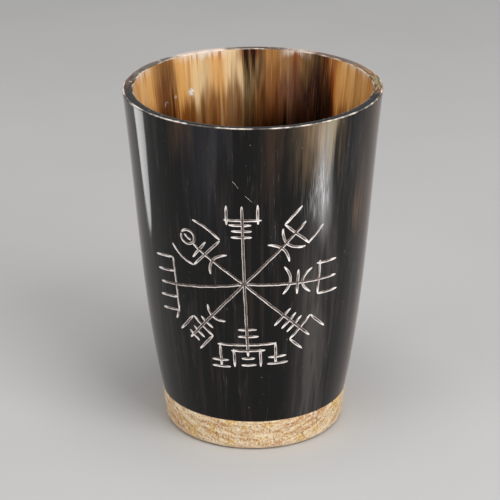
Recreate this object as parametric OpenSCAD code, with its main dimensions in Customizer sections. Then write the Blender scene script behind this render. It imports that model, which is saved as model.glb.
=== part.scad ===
// Horn drinking cup: a tapered length of horn closed at its foot by a glued-in wooden base.
// Millimetres. The origin is the centre of the flat underside and +Z points up through the mouth.

/* [Cup] */
// Overall height from the underside to the rim
cup_h = 111.2; // [80:0.1:160]
// Outer diameter at the rim
mouth_d = 80; // [70:1:110]
// Outer diameter at the seam, where the horn meets the wood
seam_d = 59.2; // [50:0.1:70]

/* [Horn] */
// How far the side swells out from a straight taper, a third of the way up
side_swell = 1.3; // [0:0.05:3]
// Wall thickness at the rim
rim_wall = 3; // [2:0.1:5]
// Rounding of the rim's two edges
rim_round = 0.5; // [0.2:0.05:0.95]
// Wall left round the socket that is bored up from the seam
socket_wall = 3; // [2:0.1:6]
// Width of the ledge where the socket ends and the natural bore begins
socket_ledge = 0.3; // [0.1:0.1:2]

/* [Wooden base] */
// Height of the foot that shows below the horn
foot_h = 10.6; // [6:0.1:20]
// How far the foot draws in from the seam to the underside, each side
foot_draw_in = 1; // [0:0.1:4]
// Rounding of the foot's lower edge
foot_round = 2; // [0.4:0.1:4]
// Height of the spigot that plugs the horn
spigot_h = 9; // [5:0.5:14]

/* [Joint] */
// Thickness of the glue film round the spigot and under the horn
glue_t = 0.25; // [0.1:0.05:0.6]
// Thickness of the sealing coat on the cup's floor
seal_t = 1; // [0.5:0.1:3]
// Radius of the fillet where the sealing coat meets the wall
seal_fillet = 2; // [0.5:0.1:5]

/* [Hidden] */

// Facets of a full turn, and steps along a swelling side or a rounded edge
turn_steps = 180;
side_steps = 12;
round_steps = 6;

// Radii, from the mouth and the seam inwards
mouth_r = mouth_d / 2;
seam_r = seam_d / 2;
foot_r = seam_r - foot_draw_in;
socket_r = seam_r - socket_wall;
spigot_r = socket_r - glue_t;
bore_foot_r = socket_r - socket_ledge;
bore_mouth_r = mouth_r - rim_wall;

// Levels up the axis
seam_z = foot_h + glue_t;
spigot_top_z = foot_h + spigot_h;
floor_z = spigot_top_z + seal_t;
rim_z = cup_h - rim_round;

// Overrun that takes a cut past the faces it opens
overrun = cup_h - seam_z;

// Radius at a level of a side that tapers from one radius to another and swells most a third of the way up
function side_r(z, from_z, from_r, to_r) =
    let (up = (z - from_z) / (cup_h - from_z))
    from_r + (to_r - from_r) * up + 27 / 4 * side_swell * up * pow(1 - up, 2);

// The horn's outer skin, and its natural bore above the socket
function outer_r(z) = side_r(z, seam_z, seam_r, mouth_r);
function bore_r(z) = side_r(z, spigot_top_z, bore_foot_r, bore_mouth_r);

// Levels from one height to another, in even steps
function levels(from_z, to_z) =
    [for (i = [0 : side_steps]) from_z + (to_z - from_z) * i / side_steps];

// Points of an arc about a centre, between two angles
function arc(centre, radius, from_deg, to_deg) =
    [for (i = [0 : round_steps])
        let (a = from_deg + (to_deg - from_deg) * i / round_steps)
        centre + radius * [cos(a), sin(a)]];

// Half section of the solid that the horn's outer skin bounds, with the rim's outer edge rounded
module skin_outline() {
    polygon(concat(
        [[0, seam_z]],
        [for (z = levels(seam_z, rim_z)) [outer_r(z), z]],
        arc([outer_r(rim_z) - rim_round, rim_z], rim_round, 0, 90),
        [[0, cup_h]]
    ));
}

// Half section of the natural bore, with the rim's inner edge rounded over
module bore_outline() {
    flare_r = bore_r(rim_z) + rim_round;
    polygon(concat(
        [[0, spigot_top_z]],
        [for (z = levels(spigot_top_z, rim_z)) [bore_r(z), z]],
        arc([flare_r, rim_z], rim_round, 180, 90),
        [[flare_r, cup_h + overrun], [0, cup_h + overrun]]
    ));
}

// Half section of the straight socket bored up from the seam for the spigot and its glue
module socket_outline() {
    translate([0, seam_z - overrun])
        square([socket_r, spigot_top_z - seam_z + overrun]);
}

// Half section of the horn's wall
module horn_outline() {
    difference() {
        skin_outline();
        bore_outline();
        socket_outline();
    }
}

// Half section of the wooden base: the rounded foot with the spigot on top
module base_outline() {
    edge_r = foot_r + foot_draw_in * foot_round / foot_h;
    polygon(concat(
        [[0, 0]],
        arc([edge_r - foot_round, foot_round], foot_round, -90, 0),
        [[seam_r, foot_h], [spigot_r, foot_h], [spigot_r, spigot_top_z], [0, spigot_top_z]]
    ));
}

// Half section of the glue: a sleeve round the spigot and a washer under the horn
module glue_outline() {
    polygon([
        [spigot_r, foot_h], [seam_r, foot_h], [seam_r, seam_z],
        [socket_r, seam_z], [socket_r, spigot_top_z], [spigot_r, spigot_top_z]
    ]);
}

// Half section of the sealing coat: a flat floor with a concave fillet up the wall
module seal_outline() {
    hollow_r = bore_r(floor_z) - seal_fillet;
    intersection() {
        bore_outline();
        difference() {
            translate([0, spigot_top_z])
                square([mouth_r, seal_t + seal_fillet]);
            translate([0, floor_z])
                square([hollow_r, overrun]);
            translate([hollow_r, floor_z + seal_fillet])
                circle(r = seal_fillet, $fn = turn_steps);
        }
    }
}

module turned() {
    rotate_extrude($fn = turn_steps)
        children();
}

module horn_body() {
    color([0.07, 0.055, 0.045])
        turned() horn_outline();
}

module wooden_base() {
    color([0.78, 0.62, 0.44])
        turned() base_outline();
}

module glue_joint() {
    color([0.20, 0.13, 0.07])
        turned() glue_outline();
}

module floor_seal() {
    color([0.45, 0.30, 0.15])
        turned() seal_outline();
}

horn_body();
wooden_base();
glue_joint();
floor_seal();
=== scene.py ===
import math

import bpy
import numpy as np
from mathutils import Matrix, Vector


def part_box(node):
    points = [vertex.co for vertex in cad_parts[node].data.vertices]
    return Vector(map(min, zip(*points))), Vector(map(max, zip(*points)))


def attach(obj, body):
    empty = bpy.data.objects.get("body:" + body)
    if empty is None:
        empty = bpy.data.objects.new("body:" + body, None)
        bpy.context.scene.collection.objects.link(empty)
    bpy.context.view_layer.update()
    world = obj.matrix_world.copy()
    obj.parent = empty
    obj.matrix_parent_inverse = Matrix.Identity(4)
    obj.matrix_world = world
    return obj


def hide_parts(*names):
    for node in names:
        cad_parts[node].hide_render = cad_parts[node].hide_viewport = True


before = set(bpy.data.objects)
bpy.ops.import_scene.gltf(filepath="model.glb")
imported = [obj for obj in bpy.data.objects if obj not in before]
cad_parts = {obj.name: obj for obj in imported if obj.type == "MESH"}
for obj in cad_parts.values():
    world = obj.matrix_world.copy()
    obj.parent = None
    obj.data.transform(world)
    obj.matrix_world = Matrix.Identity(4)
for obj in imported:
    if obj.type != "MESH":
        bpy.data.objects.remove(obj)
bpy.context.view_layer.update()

# Horn blank
# One length of cattle horn, cut square at both ends, pressed round while hot, then scraped and sanded.
# A straight socket is bored up from its lower end; above that the natural bore widens to the mouth.
MM = 0.001

horn_low, horn_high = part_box("horn_body")
seam_z = horn_low.z
rim_top = horn_high.z
seam_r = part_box("glue_joint")[1].x
spigot_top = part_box("wooden_base")[1].z

side_swell = 1.3 * MM
rim_wall = 3.0 * MM
rim_round = 0.5 * MM
socket_wall = 3.0 * MM
socket_ledge = 0.3 * MM
bore_drift = 0.05 * MM
bore_oval = 1.0 * MM
bore_waver = 0.12 * MM
socket_r = seam_r - socket_wall
rim_share = rim_round / (rim_top - seam_z)
mouth_r = (horn_high.x - seam_r * rim_share) / (1 - rim_share)

SKIN_STEPS = 60
BORE_STEPS = 36
ROUND_STEPS = 6
TURN_STEPS = 320
SHARP_EDGE = math.radians(35)


def tapered_r(z, foot_z, foot_r, top_r):
    """Radius of the horn at a level: a straight taper that swells most a third of the way up."""
    up = (z - foot_z) / (rim_top - foot_z)
    return foot_r + (top_r - foot_r) * up + 27 / 4 * side_swell * up * (1 - up) ** 2


def skin_r(z):
    return tapered_r(z, seam_z, seam_r, mouth_r)


def bore_r(z):
    return tapered_r(z, spigot_top, socket_r - socket_ledge, mouth_r - rim_wall)


def round_edge(centre_r, centre_z, radius, start, end):
    """Points of a rounded edge in the half section, between two angles in degrees."""
    angles = np.radians(np.linspace(start, end, ROUND_STEPS + 1))
    return [(centre_r + radius * math.cos(a), centre_z + radius * math.sin(a)) for a in angles]


def section_mesh(name, points, depths=None):
    """A half section as a line of vertices, each with its depth in the wall from skin to bore."""
    mesh = bpy.data.meshes.new(name)
    links = [(i, i + 1) for i in range(len(points) - 1)]
    mesh.from_pydata([(r, 0, z) for r, z in points], links, [])
    wall = mesh.attributes.new("wall", "FLOAT", "POINT")
    wall.data.foreach_set("value", depths if depths is not None else [0.0] * len(points))
    return mesh


class Wire:
    """An output socket of a node tree. Sums of wires and numbers add their own Math nodes."""

    def __init__(self, tree, socket=None):
        self.tree = tree
        self.socket = socket

    def node(self, kind, settings=None, sockets=None, out=0):
        """Adds a node: its settings first, then the values or wires of its sockets."""
        made = self.tree.nodes.new(kind)
        for name, value in (settings or {}).items():
            if name == "stops":
                ramp = made.color_ramp.elements
                while len(ramp) < len(value):
                    ramp.new(1.0)
                for stop, (position, colour) in zip(ramp, value):
                    stop.position = position
                    stop.color = colour
            else:
                setattr(made, name, value)
        for name, value in (sockets or {}).items():
            if isinstance(value, Wire):
                self.tree.links.new(value.socket, made.inputs[name])
            else:
                made.inputs[name].default_value = value
        return Wire(self.tree, made.outputs[out]) if made.outputs else None

    def math(self, operation, *values):
        return self.node("ShaderNodeMath", {"operation": operation}, dict(enumerate(values)))

    def __add__(self, other):
        return self.math("ADD", self, other)

    def __radd__(self, other):
        return self.math("ADD", other, self)

    def __sub__(self, other):
        return self.math("SUBTRACT", self, other)

    def __rsub__(self, other):
        return self.math("SUBTRACT", other, self)

    def __mul__(self, other):
        return self.math("MULTIPLY", self, other)

    def __rmul__(self, other):
        return self.math("MULTIPLY", other, self)

    def __truediv__(self, other):
        return self.math("DIVIDE", self, other)

    def __rtruediv__(self, other):
        return self.math("DIVIDE", other, self)

    def rise(self, low, high):
        """0 below low and 1 above high, with a smooth step between; high may lie below low."""
        return self.node(
            "ShaderNodeMapRange",
            {"interpolation_type": "SMOOTHSTEP"},
            {"Value": self, "From Min": low, "From Max": high},
        )

    def blend(self, low, high, how="MIX"):
        """Colour between low and high, with this wire as the share of high."""
        settings = {"data_type": "RGBA", "blend_type": how}
        return self.node("ShaderNodeMix", settings, {0: self, 6: low, 7: high}, out=2)


def new_tree(name, inputs):
    """A geometry tree with a Geometry input and output and more named inputs; gives its first wires."""
    tree = bpy.data.node_groups.new(name, "GeometryNodeTree")
    tree.interface.new_socket("Geometry", in_out="INPUT", socket_type="NodeSocketGeometry")
    for label, kind in inputs.items():
        tree.interface.new_socket(label, in_out="INPUT", socket_type=kind)
    tree.interface.new_socket("Geometry", in_out="OUTPUT", socket_type="NodeSocketGeometry")
    start = tree.nodes.new("NodeGroupInput")
    return tree, {socket.name: Wire(tree, socket) for socket in start.outputs if socket.name}


def close_tree(wire, material):
    """Ends a tree: smooth faces, sharp edges kept, instances realized, material set."""
    shade = "GeometryNodeSetShadeSmooth"
    smooth = wire.node(shade, {"domain": "FACE"}, {0: wire})
    angle = wire.node("GeometryNodeInputMeshEdgeAngle")
    sharp = wire.math("GREATER_THAN", angle, SHARP_EDGE)
    split = wire.node(shade, {"domain": "EDGE"}, {0: smooth, "Selection": sharp, 2: False})
    real = wire.node("GeometryNodeRealizeInstances", None, {0: split})
    if material is not None:
        real = wire.node("GeometryNodeSetMaterial", None, {0: real, "Material": material})
    wire.node("NodeGroupOutput", None, {0: real})


def run_tree(tree, start, values):
    """Runs a tree on a starting mesh and gives the result as a plain mesh."""
    maker = bpy.data.objects.new("maker", start)
    bpy.context.scene.collection.objects.link(maker)
    modifier = maker.modifiers.new("make", "NODES")
    modifier.node_group = tree
    for socket in tree.interface.items_tree:
        if socket.in_out == "INPUT" and socket.name in values:
            modifier[socket.identifier] = values[socket.name]
    depsgraph = bpy.context.evaluated_depsgraph_get()
    made = bpy.data.meshes.new_from_object(
        maker.evaluated_get(depsgraph), preserve_all_data_layers=True, depsgraph=depsgraph
    )
    maker.modifiers.remove(modifier)
    bpy.data.objects.remove(maker)
    if made.materials[0] is None:
        made.materials.pop(index=0)
    return made


def turning_tree():
    """Spins a half section round the axis, and lets the bore run a little oval and off centre."""
    sizes = {
        "Turn Steps": "NodeSocketInt",
        "Drift": "NodeSocketFloat",
        "Oval": "NodeSocketFloat",
        "Waver": "NodeSocketFloat",
        "Drift From": "NodeSocketFloat",
        "Drift To": "NodeSocketFloat",
        "Material": "NodeSocketMaterial",
    }
    tree, given = new_tree("turned_piece", sizes)
    section = given["Geometry"]
    steps = given["Turn Steps"]
    count = section.node("GeometryNodeAttributeDomainSize", {"component": "MESH"}, {0: section})
    grid = section.node("GeometryNodeMeshGrid", None, {"Vertices X": steps + 1, "Vertices Y": count})
    index = section.node("GeometryNodeInputIndex")
    column = section.math("FLOOR", (index + 0.5) / count)
    row = index - column * count

    def sampled(kind, field):
        settings = {"data_type": kind, "domain": "POINT"}
        return section.node(
            "GeometryNodeSampleIndex", settings, {0: section, "Value": field, "Index": row}
        )

    place = sampled("FLOAT_VECTOR", section.node("GeometryNodeInputPosition"))
    named = section.node(
        "GeometryNodeInputNamedAttribute", {"data_type": "FLOAT"}, {"Name": "wall"}
    )
    depth = sampled("FLOAT", named)
    turn = column * (2 * math.pi) / steps
    about_axis = {"rotation_type": "Z_AXIS"}
    spun = section.node("ShaderNodeVectorRotate", about_axis, {"Vector": place, "Angle": turn})
    height = section.node("ShaderNodeSeparateXYZ", None, {0: spun}, out="Z")
    share = depth * height.rise(given["Drift From"], given["Drift To"])
    lobes = section.math("SINE", turn * 3 + 0.7) + section.math("SINE", turn * 5 + 2.1) * 0.6
    front_and_back = 0.3 - 0.5 * section.math("COSINE", turn * 2)
    thinner = share * (given["Oval"] * front_and_back + given["Waver"] * lobes)
    radial = section.node(
        "ShaderNodeCombineXYZ",
        None,
        {
            "X": section.math("COSINE", turn) * thinner + share * given["Drift"],
            "Y": section.math("SINE", turn) * thinner,
        },
    )
    moved = section.node("GeometryNodeSetPosition", None, {0: grid, "Position": spun, "Offset": radial})
    settings = {"data_type": "FLOAT", "domain": "POINT"}
    kept = section.node(
        "GeometryNodeStoreNamedAttribute", settings, {0: moved, "Name": "wall", "Value": depth}
    )
    merge_gap = 0.001 * MM
    closed = section.node("GeometryNodeMergeByDistance", None, {0: kept, "Distance": merge_gap})
    close_tree(closed, given["Material"])
    return tree


turned_piece = turning_tree()

round_z = rim_top - rim_round
skin = [(skin_r(z), z) for z in np.linspace(seam_z, round_z, SKIN_STEPS)]
bore = [(bore_r(z), z) for z in np.linspace(round_z, spigot_top, BORE_STEPS)]
outer_edge = round_edge(skin_r(round_z) - rim_round, round_z, rim_round, 0, 90)[1:]
inner_edge = round_edge(bore_r(round_z) + rim_round, round_z, rim_round, 90, 180)[:-1]
rim = outer_edge + inner_edge
socket_side = [(socket_r, spigot_top), (socket_r, seam_z), skin[0]]
rim_depths = [(skin[-1][0] - r) / (skin[-1][0] - bore[0][0]) for r, z in rim]
horn_depths = [0.0] * len(skin) + rim_depths + [1.0] * (len(bore) + 2) + [0.0]
horn_section = section_mesh("horn_section", skin + rim + bore + socket_side, horn_depths)


# Polished horn finish
# Pigment runs through the horn in long fibres from foot to mouth: nearly black over the front,
# brown at the sides, amber and cream where it is clear, and polished until it shines.
def srgb(red, green, blue):
    """A display colour, 0 to 255, as the linear colour that a shader socket takes."""
    def linear(v):
        v = v / 255
        return v / 12.92 if v <= 0.04045 else ((v + 0.055) / 1.055) ** 2.4
    return (linear(red), linear(green), linear(blue), 1.0)


pitch = srgb(7, 6, 6)
soot_brown = srgb(32, 23, 18)
umber = srgb(84, 54, 34)
chestnut = srgb(122, 76, 44)
bronze = srgb(150, 98, 54)
fawn = srgb(168, 122, 74)
rust = srgb(150, 70, 24)
amber = srgb(214, 142, 70)
honey = srgb(240, 180, 106)
peach = srgb(250, 200, 136)
cream = srgb(252, 222, 172)
olive = srgb(142, 128, 88)
sage = srgb(174, 146, 104)
moss = srgb(110, 92, 64)
mauve = srgb(116, 82, 66)
plum = srgb(56, 30, 28)
smoky = srgb(110, 96, 84)
# A pale tone used only as painted sheen on the back of the rim
painted_sheen_pale = srgb(232, 210, 192)

# Bands round the horn, by angle from the back towards the right, in degrees
bore_bands = [
    (-180, soot_brown), (-95, amber), (-86, cream), (-78, amber), (-72, peach), (-62, honey),
    (-57, bronze), (-50, chestnut), (-46, fawn), (-40, honey), (-35, honey), (-30, cream),
    (-25, peach), (-17, honey), (-12, cream), (-7, cream), (-4, sage), (-1, moss), (3, fawn),
    (9, bronze), (15, chestnut), (21, mauve), (26, umber), (31, plum), (37, pitch), (43, pitch),
    (46, rust), (50, amber), (55, honey), (68, honey), (92, amber), (180, soot_brown),
]
skin_bands = [
    (-180, pitch), (-122, pitch), (-108, soot_brown), (-98, umber), (-86, soot_brown), (-70, umber),
    (-54, chestnut), (-40, soot_brown), (-24, umber), (-12, chestnut), (-5, fawn), (3, umber),
    (14, chestnut), (28, plum), (40, soot_brown), (54, fawn), (66, chestnut), (76, umber),
    (96, soot_brown), (108, umber), (116, soot_brown), (130, pitch), (180, pitch),
]
# On the rim, the pale stops at the back are painted sheen; the others are the cut end's own tones
rim_bands = [
    (-180, pitch), (-120, pitch), (-100, soot_brown), (-86, umber), (-72, smoky), (-46, smoky),
    (-36, painted_sheen_pale), (-16, painted_sheen_pale), (-8, smoky), (4, umber), (14, smoky), (23, painted_sheen_pale), (34, mauve),
    (54, smoky), (72, fawn), (86, olive), (98, fawn), (106, pitch), (180, pitch),
]


def new_material(name):
    material = bpy.data.materials.new(name)
    material.use_nodes = True
    material.node_tree.nodes.clear()
    return material, Wire(material.node_tree)


def object_axes(start):
    """The piece's own X, Y and Z, in metres."""
    place = start.node("ShaderNodeTexCoord", out="Object")
    return place, [start.node("ShaderNodeSeparateXYZ", None, {0: place}, out=axis) for axis in "XYZ"]


def dress(start, sockets):
    shader = start.node("ShaderNodeBsdfPrincipled", None, sockets)
    start.node("ShaderNodeOutputMaterial", None, {"Surface": shader})


def horn_material():
    material, start = new_material("polished_horn")
    place, (x, y, z) = object_axes(start)
    reach = start.math("SQRT", x * x + y * y)
    side = x / reach
    back = y / reach

    def fibre(width, length, detail=2.0):
        """Noise drawn out along the horn: width round it and length up it, in metres."""
        spread = mouth_r / width
        along = {"X": side * spread, "Y": back * spread, "Z": z / length}
        vector = start.node("ShaderNodeCombineXYZ", None, along)
        return start.node(
            "ShaderNodeTexNoise", None, {"Vector": vector, "Scale": 1.0, "Detail": detail}
        )

    broad = fibre(8 * MM, 80 * MM)
    wisp = fibre(3.2 * MM, 28 * MM)
    streak = fibre(1.4 * MM, 40 * MM, 3.0)
    hair = fibre(0.45 * MM, 16 * MM, 2.0)
    around = start.math("ARCTAN2", x, y)
    strayed = around + (broad - 0.5) * 0.22 + (wisp - 0.5) * 0.26 + (streak - 0.5) * 0.12
    turn = strayed / (2 * math.pi) + 0.5

    def banded(bands, fray=0.0):
        """Tones round the horn; fray draws their edges out into fine fibres."""
        stops = [((angle + 180) / 360, colour) for angle, colour in bands]
        frayed = turn + ((streak - 0.5) * 0.03 + (hair - 0.5) * 0.02) * fray
        return start.node("ShaderNodeValToRGB", {"stops": stops}, {0: frayed})

    def about(angle, half_width):
        """Mask about an angle from the back, in degrees."""
        off = start.math("ABSOLUTE", strayed - math.radians(angle))
        return off.rise(math.radians(half_width), 0.0)

    def patch(angle, half_width, low, high):
        """Mask about an angle from the back, fading in from one level to another."""
        level = z + (streak - 0.5) * (34 * MM) + (hair - 0.5) * (14 * MM)
        return about(angle, half_width) * level.rise(low, high)

    def spot(angle, height, radius):
        """Mask about one place on the bore: its angle from the back, in degrees, and its height."""
        turned = math.radians(angle)
        from_axis = bore_r(height) + 0.5 * bore_oval
        centre = (from_axis * math.sin(turned), from_axis * math.cos(turned), height)
        settings = {"operation": "DISTANCE"}
        gap = start.node("ShaderNodeVectorMath", settings, {0: place, 1: centre}, out="Value")
        return gap.rise(radius, 0.3 * radius)

    # Skin: a clear window at the right of the front, a painted bluish-grey reflection at the left, a
    # brown glow far right, a painted grey reflection below the window, fine scuffs all over, and a
    # scratched patch painted pale as a highlight beside it
    skin_tone = banded(skin_bands)
    window = patch(149, 17, 88 * MM, 112 * MM) * (0.55 + 0.45 * streak.rise(0.36, 0.64))
    skin_tone = window.blend(skin_tone, srgb(158, 132, 99))
    milky = patch(144, 7, 92 * MM, 110 * MM) * 0.5
    skin_tone = milky.blend(skin_tone, srgb(176, 166, 138))
    warm = patch(-148, 9, 96 * MM, 112 * MM) * 0.5
    skin_tone = warm.blend(skin_tone, srgb(98, 70, 48))
    # Painted reflection: a bluish-grey sheen painted into the skin at the front left
    painted_reflection_left = patch(-159, 14, 66 * MM, 104 * MM) * (0.4 + 0.6 * wisp.rise(0.35, 0.65))
    skin_tone = (painted_reflection_left * 0.65).blend(skin_tone, srgb(60, 59, 66))
    tea = patch(171, 8, 82 * MM, 106 * MM) * 0.5
    skin_tone = tea.blend(skin_tone, srgb(76, 54, 38))
    glow = patch(122, 8, 66 * MM, 84 * MM) * patch(122, 9, 104 * MM, 88 * MM)
    skin_tone = (glow * (0.3 + 0.6 * streak.rise(0.40, 0.62))).blend(skin_tone, srgb(108, 80, 58))
    # Painted reflection: a soft grey streak painted into the skin below the window
    painted_reflection_streak = patch(148, 16, 92 * MM, 60 * MM) * (0.3 + 0.7 * wisp.rise(0.36, 0.64))
    skin_tone = (painted_reflection_streak * 0.62).blend(skin_tone, srgb(104, 98, 94))
    skin_tone = (streak.rise(0.52, 0.72) * 0.6).blend(skin_tone, srgb(48, 38, 31))
    skin_tone = (wisp.rise(0.54, 0.70) * 0.5).blend(skin_tone, srgb(46, 42, 42))
    scratch = fibre(0.28 * MM, 7 * MM, 2.0)
    scuffed = scratch.rise(0.62, 0.74) * wisp.rise(0.42, 0.62)
    skin_tone = (scuffed * 0.4).blend(skin_tone, srgb(118, 112, 108))
    # Scratched patch painted pale where a lamp's highlight falls: partly real scratches, partly painted
    # highlight
    scratches_and_highlight = patch(149, 11, 76 * MM, 88 * MM) * patch(149, 11, 100 * MM, 90 * MM)
    skin_tone = (scratches_and_highlight * scratch.rise(0.42, 0.66) * 0.8).blend(skin_tone, srgb(186, 182, 182))

    # Bore: clear bands, dark pigment under the rim in two places, painted light at the lip with painted
    # glare on its edge, painted shade and shadow further down, and three small painted glints
    bore_tone = banded(bore_bands, fray=1.0)
    bore_tone = (wisp.rise(0.48, 0.30) * 0.22).blend(bore_tone, chestnut)
    bore_tone = (streak.rise(0.46, 0.28) * 0.26).blend(bore_tone, rust)
    bore_tone = (hair.rise(0.54, 0.76) * 0.26).blend(bore_tone, peach)
    bore_tone = (hair.rise(0.44, 0.26) * 0.26).blend(bore_tone, umber)
    level = z + (wisp - 0.5) * (20 * MM) + (streak - 0.5) * (12 * MM)
    # Painted light: the bore paler and brighter towards the lip
    painted_lip_light = level.rise(101 * MM, 110 * MM) * (1 - 0.9 * about(38, 18))
    bore_tone = (painted_lip_light * (0.24 + 0.5 * about(62, 20))).blend(bore_tone, srgb(255, 200, 122))
    smudges = patch(-49, 7, 95 * MM, 108 * MM) * 0.4 + patch(-1, 8, 99 * MM, 108 * MM)
    bore_tone = smudges.blend(bore_tone, srgb(38, 22, 16))
    # Painted shade: the bore darker further down, in two steps, where the front wall's shadow falls
    bore_tone = level.rise(101 * MM, 92 * MM).blend(bore_tone, srgb(176, 160, 146), "MULTIPLY")
    bore_tone = level.rise(94 * MM, 82 * MM).blend(bore_tone, srgb(176, 156, 138), "MULTIPLY")
    # Painted shade, deeper still on the right of the bore
    painted_shade_right = about(14, 30) * level.rise(96 * MM, 84 * MM)
    bore_tone = painted_shade_right.blend(bore_tone, srgb(80, 66, 54), "MULTIPLY")
    # Painted shadow on the left of the bore below the rim
    painted_shadow_left = about(-38, 26) * level.rise(99 * MM, 92 * MM)
    bore_tone = painted_shadow_left.blend(bore_tone, srgb(202, 180, 152), "MULTIPLY")
    drips_and_glare_level = z + (streak - 0.5) * (8 * MM) + (hair - 0.5) * (4 * MM)
    bore_tone = (streak.rise(0.47, 0.36) * drips_and_glare_level.rise(104 * MM, 110 * MM) * 0.5).blend(bore_tone, rust)
    # Painted glare: pale reflections of the lamps painted on the inner lip
    glare_angles = about(-25, 22) + about(21, 10) + 0.5 * about(-70, 16) + 0.5 * about(66, 18)
    painted_glare = glare_angles * drips_and_glare_level.rise(108.4 * MM, 110.8 * MM)
    bore_tone = (painted_glare * 0.85).blend(bore_tone, srgb(255, 240, 228))
    nick_and_glint_noise = start.node("ShaderNodeTexNoise", None, {"Vector": place, "Scale": 620.0, "Detail": 2.0})
    # Painted glints: three small white highlights on the bore
    painted_glints = spot(-32, 99 * MM, 2.2 * MM)
    painted_glints = painted_glints + 0.3 * spot(-43, 98.6 * MM, 0.8 * MM) + 0.3 * spot(-50, 97.2 * MM, 1.2 * MM)
    bore_tone = (painted_glints * nick_and_glint_noise.rise(0.44, 0.56)).blend(bore_tone, srgb(255, 250, 242))

    # Rim: the cut end shows the layers of the wall, darker towards the bore and over the front, with
    # painted sheen at the back;
    # its two edges are painted pale, partly wear and partly painted edge highlights, with small painted
    # glints
    wall = start.node("ShaderNodeAttribute", {"attribute_name": "wall"}, None, out="Fac")
    layers = {"X": wall * 5, "Y": side * 9, "Z": back * 9}
    layer_space = start.node("ShaderNodeCombineXYZ", None, layers)
    layer = start.node("ShaderNodeTexNoise", None, {"Vector": layer_space, "Scale": 1.0, "Detail": 3.0})
    through = wall.rise(0.90, 1.0)
    tone = through.blend(skin_tone, bore_tone)
    inwards = layer + (wall - 0.5) * 0.16
    # Darker towards the bore, most over the front and sides of the rim
    darker_inward_and_front = inwards.rise(0.44, 0.60) * (0.3 + 0.55 * back.rise(0.6, 0.1))
    rim_tone = darker_inward_and_front.blend(banded(rim_bands), pitch)
    on_rim = wall.rise(0.0, 0.06) * wall.rise(1.0, 0.94)
    tone = on_rim.blend(tone, rim_tone)
    chip_and_glint_noise = start.node("ShaderNodeTexNoise", None, {"Vector": place, "Scale": 150.0, "Detail": 3.0})
    # Both edges painted pale: partly wear, partly painted edge highlights
    outer_wear_and_highlight = wall.rise(0.0, 0.05) * wall.rise(0.20, 0.11) * (0.5 + 0.5 * nick_and_glint_noise.rise(0.40, 0.58))
    inner_wear_and_highlight = wall.rise(0.84, 0.92) * wall.rise(1.0, 0.95) * (0.5 + 0.3 * nick_and_glint_noise.rise(0.40, 0.58))
    wear_and_edge_highlight = outer_wear_and_highlight * (0.15 + 0.85 * chip_and_glint_noise.rise(0.40, 0.54)) + inner_wear_and_highlight * layer.rise(0.60, 0.42)
    tone = wear_and_edge_highlight.blend(tone, srgb(236, 224, 212))
    glint = on_rim * nick_and_glint_noise.rise(0.60, 0.70) * chip_and_glint_noise.rise(0.46, 0.60)
    tone = (glint * 0.7).blend(tone, srgb(214, 198, 180))

    dust = start.node("ShaderNodeTexNoise", None, {"Vector": place, "Scale": 1100.0, "Detail": 1.0})
    tone = (dust.rise(0.76, 0.82) * 0.45).blend(tone, srgb(150, 142, 134))
    dull = patch(146, 17, 58 * MM, 76 * MM) * (0.4 + 1.2 * (wisp - 0.2))
    sheen = 0.07 + 0.08 * broad.rise(0.45, 0.75) + 0.05 * hair.rise(0.5, 0.8)
    sheen = sheen + 0.22 * dull + 0.06 * on_rim + 0.2 * through
    ridges = hair * 0.4 + streak
    bump_distance = 0.02 * MM
    bump = start.node(
        "ShaderNodeBump", None, {"Strength": 0.2, "Distance": bump_distance, "Height": ridges}
    )
    horn_ior = 1.33
    dress(start, {"Base Color": tone, "Roughness": sheen, "IOR": horn_ior, "Normal": bump})
    return material


polished_horn = horn_material()
drift_start_up = 10 * MM
horn_sizes = {
    "Turn Steps": TURN_STEPS,
    "Drift": bore_drift,
    "Oval": bore_oval,
    "Waver": bore_waver,
    "Drift From": spigot_top + drift_start_up,
    "Drift To": rim_top,
    "Material": polished_horn,
}
horn_blank = bpy.data.objects.new("horn_blank", run_tree(turned_piece, horn_section, horn_sizes))
bpy.context.scene.collection.objects.link(horn_blank)

# Engraved stave
# A traditional eight-armed stave, cut freehand into the front of the polished horn with a small
# round burr. Each stroke dips in, runs and lifts out, so its groove is narrow at both ends.
hub_angle = math.radians(-4.6)
hub_z = 60.3 * MM
burr_r = 0.44 * MM
stem_depth = 0.36 * MM
bar_depth = 0.31 * MM
plunge = 3.0 * MM
end_lift = 0.03 * MM
path_step = 0.5 * MM
hand_shake = 0.05 * MM
press_share = 0.10
BURR_SIDES = 12


def bar(along, left, right):
    """A stroke across an arm, from left to right of it."""
    return [(along, left), (along, right)]


def prong(left, start, end):
    """A stroke along an arm, to one side of it."""
    return [(start, left), (end, left)]


def crescent(along, left, right, sag):
    """A bowed stroke across an arm; its ends hang back towards the hub by the sag."""
    return [(along - sag, left), (along, (left + right) / 2), (along - sag, right)]


def ring(along, left, radius):
    turns = np.radians(np.linspace(0, 380, 24))
    return [(along + radius * math.cos(a), left + radius * math.sin(a)) for a in turns]


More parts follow.
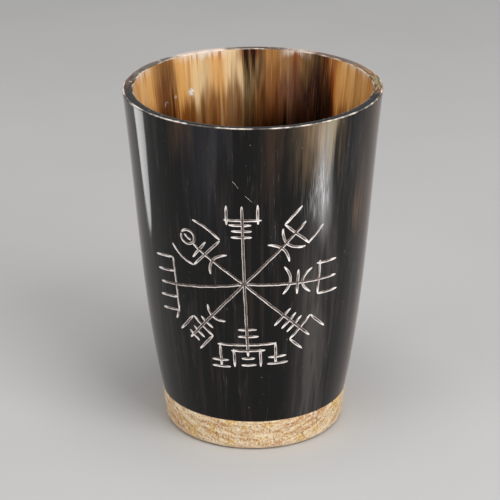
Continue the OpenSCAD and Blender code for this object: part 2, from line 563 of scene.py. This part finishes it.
# Strokes of each arm, in millimetres out along the arm and to its left, by direction in degrees
stave_arms = {
    91: [
        prong(0, -1.6, 26), bar(21.3, 5.4, -5.6), prong(4.5, 19.5, 26.2), prong(-4.5, 19.8, 26.5),
        bar(19.7, 4.1, -2.7), bar(17.7, 3.5, -2.8), bar(15.7, 3.6, -2.8),
    ],
    47: [
        prong(0, -1.6, 27), crescent(16.2, 4, -5.3, 2), crescent(18.3, 4.2, -5.8, -2.9),
        bar(22.4, 4.8, -6.3), prong(4.6, 22.2, 30), prong(-5.8, 22.4, 29.5),
    ],
    -2: [
        prong(0, -1.6, 30.6), crescent(14, 6, -3.6, 2.3), bar(16.4, 4.6, -4),
        crescent(18, 4.6, -3.8, -3.2), bar(23.7, 6.6, -5.1), prong(5.5, 22.3, 30.1),
        prong(-5, 23.5, 31.8),
    ],
    -42.5: [
        prong(0, -1.6, 29.3), bar(16.7, 3.2, -4.6), bar(19.3, 3.2, -3.9), bar(21.6, 3.4, -3.7),
        bar(24.2, 5.3, -5), prong(5.2, 24.2, 32.3), prong(-4.8, 24, 30.4),
    ],
    -88: [
        prong(0, -1.6, 25.3), bar(15.8, 3.3, -2.9), bar(18.2, 3.8, -3), bar(21.1, 9.4, -10),
        prong(9.1, 20.6, 28.8), prong(-9.1, 21, 29.3), bar(25.9, 12.8, 6.5), bar(28.3, 13.5, 6.1),
        bar(26.7, -6.4, -12.5), bar(29, -5.9, -12.6), bar(23.2, 5.8, -5.6), prong(4.1, 22.5, 29.2),
        prong(-4.6, 22.5, 29.2), bar(26, 2.3, -2.2), bar(28.4, 2.8, -2.5),
    ],
    -132: [
        prong(0, -1.6, 28.4), crescent(15.7, 4.4, -3.6, 1.9), bar(19, 3.1, -2.4), bar(21.1, 4.9, -4.2),
        prong(4.7, 20.8, 28.7), prong(-4.1, 21.2, 29.5), bar(24, 3.4, -1.9), bar(26.4, 2.9, -1.9),
    ],
    -171: [
        prong(0, -1.6, 30.6), [(22.5, -9.2), (23.3, 0), (24.6, 9)], [(24.4, 8.6), (26.6, 12)],
        prong(-9, 22.6, 30.5), prong(-4.3, 23.2, 30.9), prong(4.4, 24, 32.1), prong(8.9, 24.4, 32.5),
    ],
    143: [
        prong(0, -1.6, 19.8), ring(22.2, -0.5, 2.3), prong(-0.4, 20.8, 23.5),
        crescent(12, 4.3, -4.7, 2.4), bar(17.1, 3.9, -3.7), [(15.5, 5.9), (14.1, -7.2)],
        [(15.4, 5.8), (20, 6.6), (24.9, 5.9)], [(14.2, -7.2), (19, -7.6), (24.4, -6.5)],
    ],
}

# Light slips of the burr above the stave, in millimetres right of and above the hub
slip_marks = [[(-3.6, 34.9), (-0.8, 31.2)], [(0, 30.2), (2.9, 26.8)]]
slip_depth = 0.012 * MM


def drawn_out(points):
    """A stroke's points, evenly spaced along the smooth line through them."""
    points = np.array(points, float) * MM
    knots = np.r_[0, np.cumsum(np.hypot(*np.diff(points, axis=0).T))]
    spaced = np.linspace(0, knots[-1], max(9, int(knots[-1] / path_step)))
    degree = min(2, len(points) - 1)
    if len(points) > 3:
        return np.stack([np.interp(spaced, knots, points[:, i]) for i in (0, 1)], 1), spaced
    curves = [np.polyfit(knots, points[:, i], degree) for i in (0, 1)]
    return np.stack([np.polyval(curve, spaced) for curve in curves], 1), spaced


def smooth(values):
    """Running mean of three, so that a random row wanders instead of jumping."""
    return np.convolve(values, np.ones(3) / 3, "same")


def on_skin(flat, lift):
    """Places unrolled points on the horn's skin, lifted off it by the given heights."""
    hub_r = skin_r(hub_z)
    angle = hub_angle + flat[:, 0] / hub_r
    z = hub_z + flat[:, 1]
    r = skin_r(z) + lift
    return np.stack([r * np.sin(angle), -r * np.cos(angle), z], 1)


def stroke_mesh():
    """The burr's paths as lines: deep along a stroke and clear of the skin at its two ends, with the
    small tremor of a hand-held tool from side to side and in depth."""
    tremor = np.random.default_rng(5)
    cuts = [(0, points, slip_depth) for points in slip_marks]
    for direction, (stem, *bars) in stave_arms.items():
        cuts += [(direction, stem, stem_depth)] + [(direction, points, bar_depth) for points in bars]
    places, links, count = [], [], 0
    for direction, points, deepest in cuts:
        turn = math.radians(direction)
        out = np.array([math.cos(turn), math.sin(turn)])
        left = np.array([-out[1], out[0]])
        path, run = drawn_out(points)
        sideways, press = tremor.normal(size=(2, len(path)))
        path = path + hand_shake * smooth(sideways)[:, None]
        ease = min(plunge, 0.5 * run[-1])
        dip = np.clip(np.minimum(run, run[-1] - run) / ease, 0, 1)
        wave = 1 + press_share * smooth(press)
        depth = deepest * (1 - (1 - dip) ** 2) * wave - end_lift * (dip == 0)
        places.append(on_skin(path[:, :1] * out + path[:, 1:] * left, burr_r - depth))
        links += [(i, i + 1) for i in range(count, count + len(path) - 1)]
        count += len(path)
    mesh = bpy.data.meshes.new("burr_paths")
    mesh.from_pydata(np.concatenate(places).tolist(), links, [])
    return mesh


def cut_material():
    """Bare horn in the grooves: pale and matt, chalky at the edges, and darker towards the bottom as
    painted shade.
    """
    material, start = new_material("engraved_horn")
    place, _ = object_axes(start)
    depth = start.node("ShaderNodeAttribute", {"attribute_name": "cut"}, None, out="Fac")
    grain = start.node("ShaderNodeTexNoise", None, {"Vector": place, "Scale": 2600.0, "Detail": 3.0})
    grime = start.node("ShaderNodeTexNoise", None, {"Vector": place, "Scale": 420.0, "Detail": 3.0})
    # Painted shade: the groove's tone darkens with its depth
    tone = depth.rise(0.46, 0.86).blend(srgb(255, 247, 242), srgb(78, 60, 52))
    tone = (grime.rise(0.48, 0.66) * 0.4).blend(tone, srgb(120, 94, 80))
    tone = (grain.rise(0.5, 0.7) * 0.3).blend(tone, srgb(250, 240, 234))
    bump = start.node("ShaderNodeBump", None, {"Strength": 0.5, "Distance": 0.05 * MM, "Height": grain})
    dress(start, {"Base Color": tone, "Roughness": 0.5, "Normal": bump})
    return material


def engraving_tree():
    """Sweeps the burr along its paths and cuts the sweeps out of the horn."""
    sizes = {
        "Horn": "NodeSocketObject",
        "Burr Radius": "NodeSocketFloat",
        "Burr Sides": "NodeSocketInt",
        "Cut Material": "NodeSocketMaterial",
    }
    tree, given = new_tree("engraved_strokes", sizes)
    paths = given["Geometry"]
    curves = paths.node("GeometryNodeMeshToCurve", None, {0: paths})
    burr = paths.node(
        "GeometryNodeCurvePrimitiveCircle",
        {"mode": "RADIUS"},
        {"Resolution": given["Burr Sides"], "Radius": given["Burr Radius"]},
    )
    swept = paths.node(
        "GeometryNodeCurveToMesh", None, {"Curve": curves, "Profile Curve": burr, "Fill Caps": True}
    )
    tool = paths.node("GeometryNodeSetMaterial", None, {0: swept, "Material": given["Cut Material"]})
    stroke = paths.node("GeometryNodeInputMeshIsland")
    tools = paths.node(
        "GeometryNodeSplitToInstances", {"domain": "FACE"}, {0: tool, "Group ID": stroke}
    )
    horn = paths.node("GeometryNodeObjectInfo", None, {"Object": given["Horn"]}, out="Geometry")
    cut = paths.node(
        "GeometryNodeMeshBoolean",
        {"operation": "DIFFERENCE", "solver": "MANIFOLD"},
        {"Mesh 1": horn, "Mesh 2": tools},
    )
    close_tree(cut, None)
    return tree


engraved_horn = cut_material()
engraving = {
    "Horn": horn_blank,
    "Burr Radius": burr_r,
    "Burr Sides": BURR_SIDES,
    "Cut Material": engraved_horn,
}
horn_mesh = run_tree(engraving_tree(), stroke_mesh(), engraving)
horn_mesh.name = "polished_horn"
bpy.data.objects.remove(horn_blank)


def polish_skin(mesh):
    """Gives the skin between the strokes the true curve's normals, and marks depth in the grooves."""
    near_skin_tol = 0.02 * MM
    slope_step = 0.01 * MM
    places = np.zeros(len(mesh.vertices) * 3)
    mesh.vertices.foreach_get("co", places)
    places = places.reshape(-1, 3)
    reach = np.hypot(places[:, 0], places[:, 1])
    height = places[:, 2]
    depth = skin_r(height) - reach
    slope = (skin_r(height + slope_step) - skin_r(height - slope_step)) / (2 * slope_step)
    normals = np.stack([places[:, 0] / reach, places[:, 1] / reach, -slope], 1)
    normals /= np.linalg.norm(normals, axis=1)[:, None]
    corners = np.zeros(len(mesh.loops), int)
    mesh.loops.foreach_get("vertex_index", corners)
    sizes = np.zeros(len(mesh.polygons), int)
    slots = np.zeros(len(mesh.polygons), int)
    mesh.polygons.foreach_get("loop_total", sizes)
    mesh.polygons.foreach_get("material_index", slots)
    starts = np.r_[0, np.cumsum(sizes)[:-1]]
    near_skin = (np.abs(depth) < near_skin_tol) & (height < round_z + slope_step)
    skin_face = np.minimum.reduceat(near_skin[corners].astype(int), starts) > 0
    skin_face &= slots == [m.name for m in mesh.materials].index("polished_horn")
    chosen = np.repeat(skin_face, sizes)
    corner_normals = np.where(chosen[:, None], normals[corners], 0.0)
    mesh.normals_split_custom_set(corner_normals.tolist())
    cut = mesh.attributes.new("cut", "FLOAT", "POINT")
    cut.data.foreach_set("value", np.clip(depth / stem_depth, 0, 1))


polish_skin(horn_mesh)
horn_piece = bpy.data.objects.new("polished_horn", horn_mesh)
bpy.context.scene.collection.objects.link(horn_piece)
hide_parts("horn_body")
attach(horn_piece, "root")

# Wooden base
# A plug of pale hardwood turned on a lathe: the foot shows below the horn and draws in to a rounded
# lower edge, and the spigot above it is glued up into the horn's socket. Sanded and lightly oiled.
base_low, base_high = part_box("wooden_base")
glue_low, glue_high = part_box("glue_joint")
foot_top = glue_low.z
foot_draw_in = 1.0 * MM
foot_round = 2.0 * MM
glue_film = seam_z - foot_top
spigot_r = socket_r - glue_film
edge_ease = 0.25 * MM
grain_climb = math.radians(36)

CHAMFER_SHARE = 0.3
foot_edge_r = seam_r - foot_draw_in * (1 - foot_round / foot_top)
lower_edge = round_edge(foot_edge_r - foot_round, foot_round, foot_round, -90, 0)
foot_side = [
    (
        foot_edge_r + (seam_r - foot_edge_r) * share,
        foot_round + (foot_top - edge_ease - foot_round) * share,
    )
    for share in np.linspace(0, 1, 8)[1:]
]
upper_edge = [(seam_r - edge_ease * CHAMFER_SHARE, foot_top)]
spigot = [(spigot_r, foot_top), (spigot_r, base_high.z), (0, base_high.z)]
underside = [(share * lower_edge[0][0], base_low.z) for share in (0, 0.25, 0.5, 0.75)]
base_section = section_mesh("base_section", underside + lower_edge + foot_side + upper_edge + spigot)


def wood_material():
    """Pale close-grained wood. Its fibres run front to back and climb on the way, so the front
    shows their speckled ends and the two sides show them as slanting lines."""
    material, start = new_material("turned_wood")
    place, (x, y, z) = object_axes(start)
    sway = start.node("ShaderNodeTexNoise", None, {"Vector": place, "Scale": 75.0, "Detail": 3.0})
    rise, run = math.sin(grain_climb), math.cos(grain_climb)
    along = y * run + z * rise
    through = z * run - y * rise + (sway - 0.5) * (5 * MM)

    def grained(width, length, detail):
        """Noise drawn out along the fibres: their width and length, in metres."""
        vector = {"X": x / width, "Y": along / length, "Z": through / width}
        space = start.node("ShaderNodeCombineXYZ", None, vector)
        sockets = {"Vector": space, "Scale": 1.0, "Detail": detail, "Distortion": 0.3}
        return start.node("ShaderNodeTexNoise", None, sockets)

    layers = {"X": x / (9 * MM), "Y": along / (22 * MM), "Z": through / (1.1 * MM)}
    layer_space = start.node("ShaderNodeCombineXYZ", None, layers)
    season = start.node(
        "ShaderNodeTexNoise", None, {"Vector": layer_space, "Scale": 1.0, "Detail": 3.0}
    )
    fleck = grained(0.55 * MM, 8 * MM, 3.0)
    pores = grained(0.5 * MM, 5 * MM, 2.0)
    stain = grained(4.5 * MM, 16 * MM, 2.0)
    tone = season.rise(0.40, 0.66).blend(srgb(255, 230, 188), srgb(216, 162, 106))
    tone = (stain.rise(0.53, 0.64) * 0.75).blend(tone, srgb(236, 190, 96))
    tone = (fleck.rise(0.50, 0.66) * 0.55).blend(tone, srgb(176, 120, 70))
    tone = (fleck.rise(0.47, 0.33) * 0.8).blend(tone, srgb(255, 248, 228))
    tone = (pores.rise(0.60, 0.69) * 0.85).blend(tone, srgb(88, 54, 30))
    tone = (z.rise(3 * MM, 0.5 * MM) * 0.35).blend(tone, srgb(250, 232, 206))
    matt = 0.5 + 0.2 * pores.rise(0.45, 0.65)
    relief = pores * 0.7 + fleck * 0.3
    bump = start.node(
        "ShaderNodeBump", {"invert": True}, {"Strength": 0.4, "Distance": 0.06 * MM, "Height": relief}
    )
    dress(start, {"Base Color": tone, "Roughness": matt, "Normal": bump})
    return material


base_sizes = {"Turn Steps": TURN_STEPS, "Material": wood_material()}
base_piece = bpy.data.objects.new("turned_base", run_tree(turned_piece, base_section, base_sizes))
bpy.context.scene.collection.objects.link(base_piece)
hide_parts("wooden_base")
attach(base_piece, "root")

# Glue film
# Cured brown glue that bonds the base into the horn: a sleeve round the spigot and a thin washer
# under the horn's cut end, whose edge is the fine dark line at the seam.
glue_inset = 0.08 * MM
glue_rim_r = seam_r - glue_inset
glue_points = [
    (spigot_r, foot_top), (glue_rim_r, foot_top), (glue_rim_r, seam_z),
    (socket_r, seam_z), (socket_r, spigot_top), (spigot_r, spigot_top), (spigot_r, foot_top),
]
glue_section = section_mesh("glue_section", glue_points)


def glue_material():
    material, start = new_material("cured_glue")
    place, _ = object_axes(start)
    clots = start.node("ShaderNodeTexNoise", None, {"Vector": place, "Scale": 900.0, "Detail": 3.0})
    tone = clots.rise(0.35, 0.7).blend(srgb(44, 28, 18), srgb(96, 62, 34))
    bump = start.node("ShaderNodeBump", None, {"Strength": 0.3, "Distance": 0.05 * MM, "Height": clots})
    dress(start, {"Base Color": tone, "Roughness": 0.4 + 0.2 * clots, "Normal": bump})
    return material


glue_sizes = {"Turn Steps": TURN_STEPS, "Material": glue_material()}
glue_piece = bpy.data.objects.new("glue_film", run_tree(turned_piece, glue_section, glue_sizes))
bpy.context.scene.collection.objects.link(glue_piece)
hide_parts("glue_joint")
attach(glue_piece, "root")

# Floor seal
# Food-safe amber resin poured over the end of the spigot while the cup stood upright. It set level
# and crept up the horn in a small fillet, so the wood and the joint stay dry.
seal_low, seal_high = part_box("floor_seal")
seal_fillet = 2.0 * MM
seal_gap = 0.005 * MM
floor_z = seal_high.z - seal_fillet
hollow_r = bore_r(floor_z) - seal_fillet
creep = round_edge(hollow_r, seal_high.z, seal_fillet, 0, -90)
wall_side = [(bore_r(z) - seal_gap, z) for z in np.linspace(seal_low.z, seal_high.z, 5)]
seal_floor = [(hollow_r * share, floor_z) for share in (0.75, 0.5, 0.25, 0)]
seal_under = [(wall_side[0][0] * share, seal_low.z) for share in (0, 0.25, 0.5, 0.75)]
seal_section = section_mesh("seal_section", seal_under + wall_side + creep + seal_floor)


def seal_material():
    material, start = new_material("amber_resin")
    place, _ = object_axes(start)
    swirl = start.node(
        "ShaderNodeTexNoise", None, {"Vector": place, "Scale": 70.0, "Detail": 4.0, "Distortion": 1.2}
    )
    specks = start.node("ShaderNodeTexNoise", None, {"Vector": place, "Scale": 1400.0, "Detail": 1.0})
    tone = swirl.rise(0.35, 0.65).blend(srgb(74, 46, 24), srgb(132, 86, 42))
    tone = (specks.rise(0.66, 0.74) * 0.6).blend(tone, srgb(190, 150, 96))
    bump = start.node("ShaderNodeBump", None, {"Strength": 0.2, "Distance": 0.3 * MM, "Height": swirl})
    dress(start, {"Base Color": tone, "Roughness": 0.16 + 0.2 * specks.rise(0.5, 0.8), "Normal": bump})
    return material


seal_sizes = {"Turn Steps": TURN_STEPS, "Material": seal_material()}
seal_piece = bpy.data.objects.new("sealed_floor", run_tree(turned_piece, seal_section, seal_sizes))
bpy.context.scene.collection.objects.link(seal_piece)
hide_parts("floor_seal")
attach(seal_piece, "root")

# Table and light
# A plain pale table, a large soft lamp over the right shoulder, a softer one from the left, one
# overhead, and two low white panels beside the cup that the polished horn mirrors.
table_half = 3.0


def table_material():
    material, start = new_material("pale_table")
    place, _ = object_axes(start)
    mottle = start.node("ShaderNodeTexNoise", None, {"Vector": place, "Scale": 9.0, "Detail": 3.0})
    tone = mottle.blend(srgb(188, 187, 185), srgb(198, 197, 195))
    dress(start, {"Base Color": tone, "Roughness": 0.7})
    return material


table_mesh = bpy.data.meshes.new("pale_table")
corners = [(-1, -1), (1, -1), (1, 1), (-1, 1)]
table_mesh.from_pydata([(x * table_half, y * table_half, 0) for x, y in corners], [], [(0, 1, 2, 3)])
table_mesh.materials.append(table_material())
table = bpy.data.objects.new("pale_table", table_mesh)
bpy.context.scene.collection.objects.link(table)


def add_lamp(name, shape, place, aim, size, level, spread=180):
    """A flat lamp at a place, turned towards an aim, with a radiance level of its face."""
    width, height = size
    area = width * height * (math.pi / 4 if shape == "ELLIPSE" else 1)
    data = bpy.data.lights.new(name, "AREA")
    data.shape = shape
    data.size = width
    data.size_y = height
    data.energy = level * math.pi * area
    data.spread = math.radians(spread)
    lamp = bpy.data.objects.new(name, data)
    lamp.location = place
    away = lamp.location - Vector(aim)
    lamp.rotation_euler = away.to_track_quat("Z", "Y").to_euler()
    lamp.visible_camera = False
    bpy.context.scene.collection.objects.link(lamp)


cup_middle = (0, 0, 0.06)
add_lamp("key_lamp", "RECTANGLE", (0.55, -0.65, 0.85), cup_middle, (0.6, 0.6), 6.2)
add_lamp("fill_lamp", "RECTANGLE", (-0.75, -0.60, 0.60), cup_middle, (0.5, 0.6), 2.0)
add_lamp("top_lamp", "RECTANGLE", (0.05, -0.15, 0.95), cup_middle, (0.5, 0.5), 4.6)
left_panel_place = (-0.174, 0.076, 0.096)
left_panel_aim = (-0.045, -0.011, 0.143)
add_lamp("left_panel", "ELLIPSE", left_panel_place, left_panel_aim, (0.056, 0.20), 0.74, 70)
right_panel_place = (0.134, -0.070, 0.026)
right_panel_aim = (0.021, -0.031, 0.096)
add_lamp("right_panel", "ELLIPSE", right_panel_place, right_panel_aim, (0.032, 0.024), 3.0, 70)

world = bpy.data.worlds.new("studio")
world.use_nodes = True
world.node_tree.nodes["Background"].inputs["Color"].default_value = (0.36, 0.36, 0.37, 1.0)
bpy.context.scene.world = world
bpy.context.scene.view_settings.view_transform = "Standard"

# Camera
# It stands in front of the cup and looks down on it, level from side to side.
FRAME_PIXELS = 500
focal_pixels = 2000
SENSOR_WIDTH_MM = 36.0
camera_side = -1.1 * MM
camera_back = -583.2 * MM
camera_up = 304.5 * MM
camera_elevation_deg = 23.05
camera_yaw_deg = -0.33
camera_data = bpy.data.cameras.new("camera")
camera_data.sensor_width = SENSOR_WIDTH_MM
camera_data.lens = focal_pixels / FRAME_PIXELS * camera_data.sensor_width
camera_data.clip_start = 0.05
camera = bpy.data.objects.new("camera", camera_data)
camera.location = (camera_side, camera_back, camera_up)
camera.rotation_mode = "ZYX"
camera.rotation_euler = (math.radians(90 - camera_elevation_deg), 0, math.radians(camera_yaw_deg))
bpy.context.scene.collection.objects.link(camera)
bpy.context.scene.camera = camera
